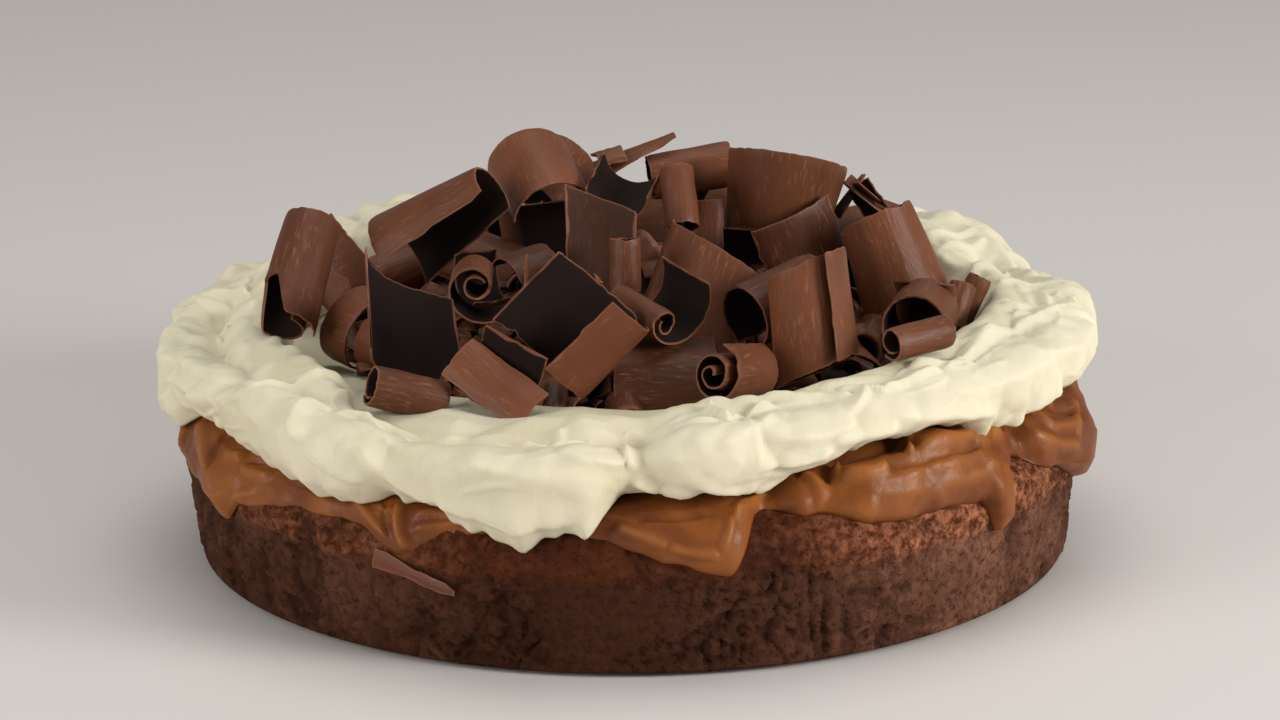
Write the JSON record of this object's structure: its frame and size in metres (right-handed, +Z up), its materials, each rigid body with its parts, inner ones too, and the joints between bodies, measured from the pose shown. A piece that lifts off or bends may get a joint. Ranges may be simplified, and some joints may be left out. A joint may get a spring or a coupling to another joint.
{
  "type": "chocolate marquise cake",
  "caption": "Round chocolate marquise: a dense flat cake with dulce de leche over its top, a ring of whipped cream and a heap of chocolate curls.",
  "frame": {"origin": "middle of the flat underside of the cake", "axes": "+Z up, -Y towards the front that the picture shows, +X to its right"},
  "size_m": [0.2522, 0.2506, 0.1066],
  "materials": {
    "chocolate_crumb": "baked dark chocolate crumb, matte and crumbly",
    "caramel": "glossy spread dulce de leche",
    "cream": "soft whipped cream with a faint sheen",
    "chocolate": "shaved chocolate, silky with grain along the roll"
  },
  "bodies": {
    "root": {"cake": "chocolate_crumb", "curl_back_01": "chocolate", "curl_back_02": "chocolate", "curl_back_03": "chocolate", "curl_back_04": "chocolate", "curl_back_05": "chocolate", "curl_back_06": "chocolate", "curl_back_07": "chocolate", "curl_back_08": "chocolate", "curl_back_09": "chocolate", "curl_back_10": "chocolate", "curl_back_11": "chocolate", "curl_back_12": "chocolate", "curl_big_fold": "chocolate", "curl_front_dark_strip": "chocolate", "curl_front_left_tube": "chocolate", "curl_front_middle": "chocolate", "curl_front_panel": "chocolate", "curl_front_scroll": "chocolate", "curl_front_tall": "chocolate", "curl_left_box": "chocolate", "curl_left_dark_shell": "chocolate", "curl_left_ribbon": "chocolate", "curl_left_scroll": "chocolate", "curl_left_shell": "chocolate", "curl_left_small_scroll": "chocolate", "curl_left_tall": "chocolate", "curl_middle_cup": "chocolate", "curl_middle_ribs": "chocolate", "curl_middle_roll": "chocolate", "curl_middle_sheet": "chocolate", "curl_middle_spire": "chocolate", "curl_right_arch": "chocolate", "curl_right_bucket": "chocolate", "curl_right_cup": "chocolate", "curl_right_dark_sheet": "chocolate", "curl_right_small_tube": "chocolate", "curl_right_stick": "chocolate", "curl_right_stub": "chocolate", "curl_shavings": "chocolate", "curl_stray": "chocolate", "curl_top_arch": "chocolate", "curl_top_back": "chocolate", "curl_top_big_sheet": "chocolate", "curl_top_chip": "chocolate", "curl_top_cup": "chocolate", "curl_top_flat": "chocolate", "curl_top_spike": "chocolate", "curl_top_splinter": "chocolate", "curl_top_stub": "chocolate", "curl_top_tube": "chocolate", "curl_upper_left": "chocolate", "dulce_de_leche": "caramel", "whipped_cream": "cream"}
  },
  "joints": []
}
